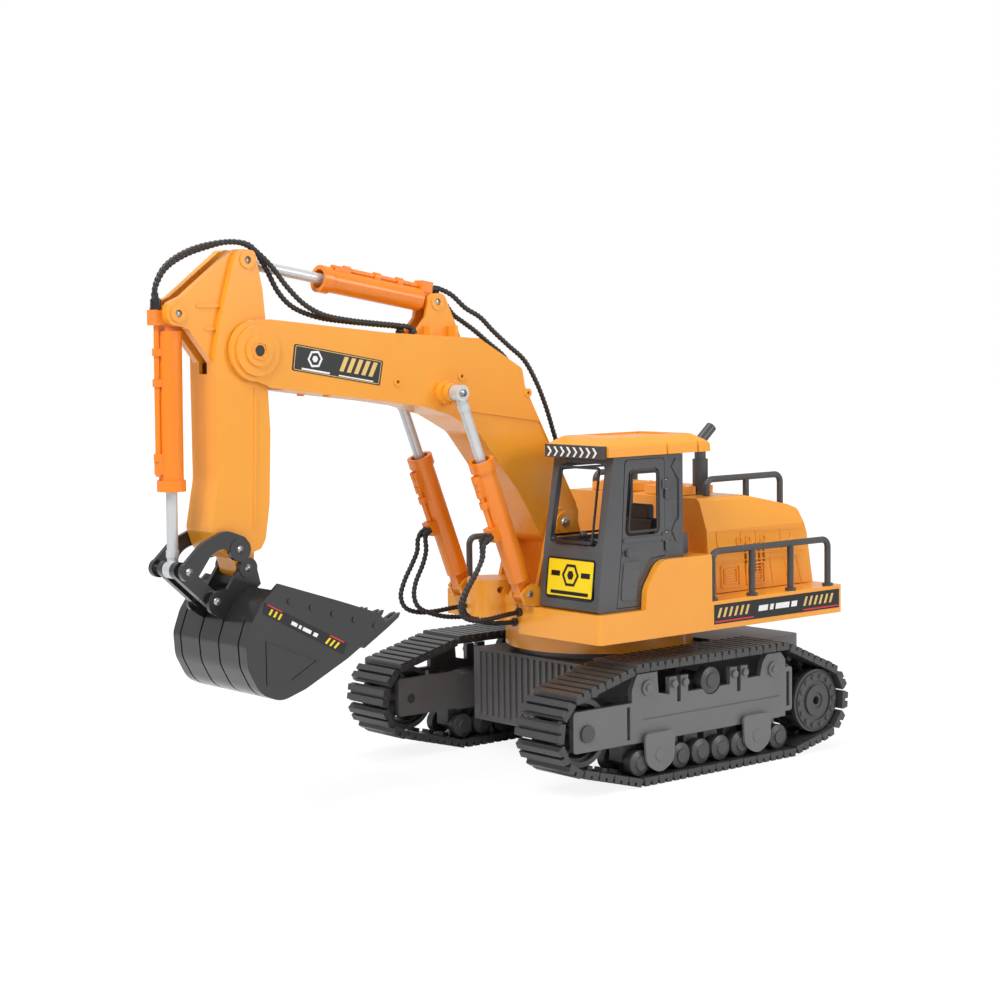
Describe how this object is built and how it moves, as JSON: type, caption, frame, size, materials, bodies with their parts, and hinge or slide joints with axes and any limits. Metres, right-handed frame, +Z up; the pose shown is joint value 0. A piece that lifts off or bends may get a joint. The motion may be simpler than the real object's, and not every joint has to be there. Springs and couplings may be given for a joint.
{
  "type": "tracked excavator toy",
  "caption": "Tracked excavator toy with a swinging house, opening cab door, jointed boom, arm and bucket moved by sliding cylinders, and turning drive wheels",
  "frame": {"origin": "on the swing axis, on the ground under the tracks", "axes": "+X to the front, towards the bucket; +Y to the cab side; +Z up"},
  "size_m": [0.438, 0.197, 0.3111],
  "materials": {
    "orange": "glossy injection-moulded plastic",
    "charcoal": "fine-grained moulded plastic",
    "track": "semi-hard moulded plastic links",
    "cab_grey": "satin moulded plastic",
    "bright": "vacuum-plated plastic",
    "steel": "plated steel",
    "white_plastic": "plain moulded gear case",
    "black": "satin moulded plastic",
    "hose": "soft ribbed tube",
    "board": "lacquered circuit board",
    "cells": "wrapped battery cells",
    "lamp": "clear moulded lens bar"
  },
  "bodies": {
    "undercarriage": {"chassis": "charcoal", "belly_plate": "charcoal", "battery_pack": "cells", "battery_door": "charcoal", "chassis_screws": "steel", "drive_gearbox_left": "white_plastic", "drive_gearbox_right": "white_plastic", "turntable": "charcoal", "swing_cap": "steel", "track_frame_left": "charcoal", "track_frame_right": "charcoal", "rollers_left": "charcoal", "rollers_right": "charcoal", "idler_axles": "steel", "track_left": "track", "track_right": "track"},
    "sprocket_left": {"sprocket_left": "charcoal"},
    "sprocket_right": {"sprocket_right": "charcoal"},
    "idler_left": {"idler_left": "charcoal"},
    "idler_right": {"idler_right": "charcoal"},
    "house": {"deck": "orange", "hood": "orange", "hood_vents": "orange", "handrails": "charcoal", "exhaust_stack": "charcoal", "boom_mount": "orange", "cab_shell": "cab_grey", "cab_roof": "orange", "light_bar": "lamp", "driver_seat": "black", "control_console": "black", "swing_gearbox": "white_plastic", "boom_gearbox": "white_plastic", "circuit_board": "board", "house_pins": "steel", "boom_hoses": "hose"},
    "cab_door": {"cab_door": "cab_grey"},
    "boom": {"boom_left_shell": "orange", "boom_right_shell": "orange", "boom_pins": "steel", "arm_gearbox": "white_plastic", "arm_hoses": "hose"},
    "arm": {"arm_left_shell": "orange", "arm_right_shell": "orange", "arm_pins": "steel", "bucket_hoses": "hose"},
    "bucket": {"bucket_shell": "charcoal", "bucket_teeth": "charcoal", "bucket_pin": "steel"},
    "rocker": {"rocker": "charcoal", "rocker_pin": "steel"},
    "bucket_link": {"bucket_link": "charcoal"},
    "boom_barrel_left": {"boom_barrel_left": "orange"},
    "boom_barrel_right": {"boom_barrel_right": "orange"},
    "boom_rod_left": {"boom_rod_left": "bright"},
    "boom_rod_right": {"boom_rod_right": "bright"},
    "arm_barrel": {"arm_barrel": "orange"},
    "arm_rod": {"arm_rod": "bright"},
    "bucket_barrel": {"bucket_barrel": "orange"},
    "bucket_rod": {"bucket_rod": "bright"}
  },
  "joints": [
    {"name": "swing", "type": "hinge", "parent": "undercarriage", "child": "house", "pos_m": [0, 0, 0], "axis": [0, 0, 1], "continuous": true},
    {"name": "drive_left", "type": "hinge", "parent": "undercarriage", "child": "sprocket_left", "pos_m": [-0.094, 0.08, 0.031], "axis": [0, 1, 0], "continuous": true},
    {"name": "drive_right", "type": "hinge", "parent": "undercarriage", "child": "sprocket_right", "pos_m": [-0.094, -0.08, 0.031], "axis": [0, 1, 0], "continuous": true},
    {"name": "idle_left", "type": "hinge", "parent": "undercarriage", "child": "idler_left", "pos_m": [0.097, 0.08, 0.0355], "axis": [0, 1, 0], "continuous": true},
    {"name": "idle_right", "type": "hinge", "parent": "undercarriage", "child": "idler_right", "pos_m": [0.097, -0.08, 0.0355], "axis": [0, 1, 0], "continuous": true},
    {"name": "door", "type": "hinge", "parent": "house", "child": "cab_door", "pos_m": [0.0258, 0.0864, 0], "axis": [0, 0, 1], "range_deg": [0, 70]},
    {"name": "boom_lift", "type": "hinge", "parent": "house", "child": "boom", "pos_m": [0.045, 0, 0.146], "axis": [0, -1, 0], "range_deg": [-20, 12]},
    {"name": "boom_barrel_left_tilt", "type": "hinge", "parent": "house", "child": "boom_barrel_left", "pos_m": [0.086, 0.0285, 0.108], "axis": [0, -1, 0], "range_deg": [-17.2, 10.32], "deforming": ["boom_hoses"]},
    {"name": "boom_barrel_right_tilt", "type": "hinge", "parent": "house", "child": "boom_barrel_right", "pos_m": [0.086, -0.0285, 0.108], "axis": [0, -1, 0], "range_deg": [-17.2, 10.32]},
    {"name": "boom_rod_left_tilt", "type": "hinge", "parent": "boom", "child": "boom_rod_left", "pos_m": [0.132, 0.0285, 0.226], "axis": [0, -1, 0], "range_deg": [-1.68, 2.8]},
    {"name": "boom_rod_right_tilt", "type": "hinge", "parent": "boom", "child": "boom_rod_right", "pos_m": [0.132, -0.0285, 0.226], "axis": [0, -1, 0], "range_deg": [-1.68, 2.8]},
    {"name": "arm_swing", "type": "hinge", "parent": "boom", "child": "arm", "pos_m": [0.259, 0, 0.252], "axis": [0, 1, 0], "range_deg": [-24, 12], "deforming": ["bucket_hoses"]},
    {"name": "arm_barrel_tilt", "type": "hinge", "parent": "boom", "child": "arm_barrel", "pos_m": [0.1295, 0, 0.2775], "axis": [0, 1, 0], "range_deg": [-1.15, 0.58]},
    {"name": "arm_rod_tilt", "type": "hinge", "parent": "arm", "child": "arm_rod", "pos_m": [0.262, 0, 0.3], "axis": [0, 1, 0], "range_deg": [-11.42, 22.85]},
    {"name": "bucket_curl", "type": "hinge", "parent": "arm", "child": "bucket", "pos_m": [0.265, 0, 0.1363], "axis": [0, 1, 0], "range_deg": [-30, 10]},
    {"name": "rocker_turn", "type": "hinge", "parent": "arm", "child": "rocker", "pos_m": [0.2725, 0, 0.147], "axis": [0, 1, 0], "range_deg": [-27.84, 9.28]},
    {"name": "link_turn", "type": "hinge", "parent": "rocker", "child": "bucket_link", "pos_m": [0.3045, 0, 0.1375], "axis": [0, 1, 0], "range_deg": [-4.75, 14.25]},
    {"name": "bucket_barrel_tilt", "type": "hinge", "parent": "arm", "child": "bucket_barrel", "pos_m": [0.303, 0, 0.272], "axis": [0, 1, 0], "range_deg": [-1.05, 0.35]},
    {"name": "bucket_rod_tilt", "type": "hinge", "parent": "rocker", "child": "bucket_rod", "pos_m": [0.3045, 0, 0.1375], "axis": [0, 1, 0], "range_deg": [-8.93, 26.79]}
  ],
  "couplings": [
    {"joint": "idle_left", "follows": "drive_left", "ratio": 1},
    {"joint": "idle_right", "follows": "drive_right", "ratio": 1},
    {"joint": "boom_barrel_left_tilt", "follows": "boom_lift", "ratio": 0.86},
    {"joint": "boom_barrel_right_tilt", "follows": "boom_lift", "ratio": 0.86},
    {"joint": "boom_rod_left_tilt", "follows": "boom_lift", "ratio": -0.14},
    {"joint": "boom_rod_right_tilt", "follows": "boom_lift", "ratio": -0.14},
    {"joint": "arm_barrel_tilt", "follows": "arm_swing", "ratio": 0.048},
    {"joint": "arm_rod_tilt", "follows": "arm_swing", "ratio": -0.952},
    {"joint": "rocker_turn", "follows": "bucket_curl", "ratio": 0.928},
    {"joint": "link_turn", "follows": "bucket_curl", "ratio": -0.475},
    {"joint": "bucket_barrel_tilt", "follows": "bucket_curl", "ratio": 0.035},
    {"joint": "bucket_rod_tilt", "follows": "bucket_curl", "ratio": -0.893}
  ]
}
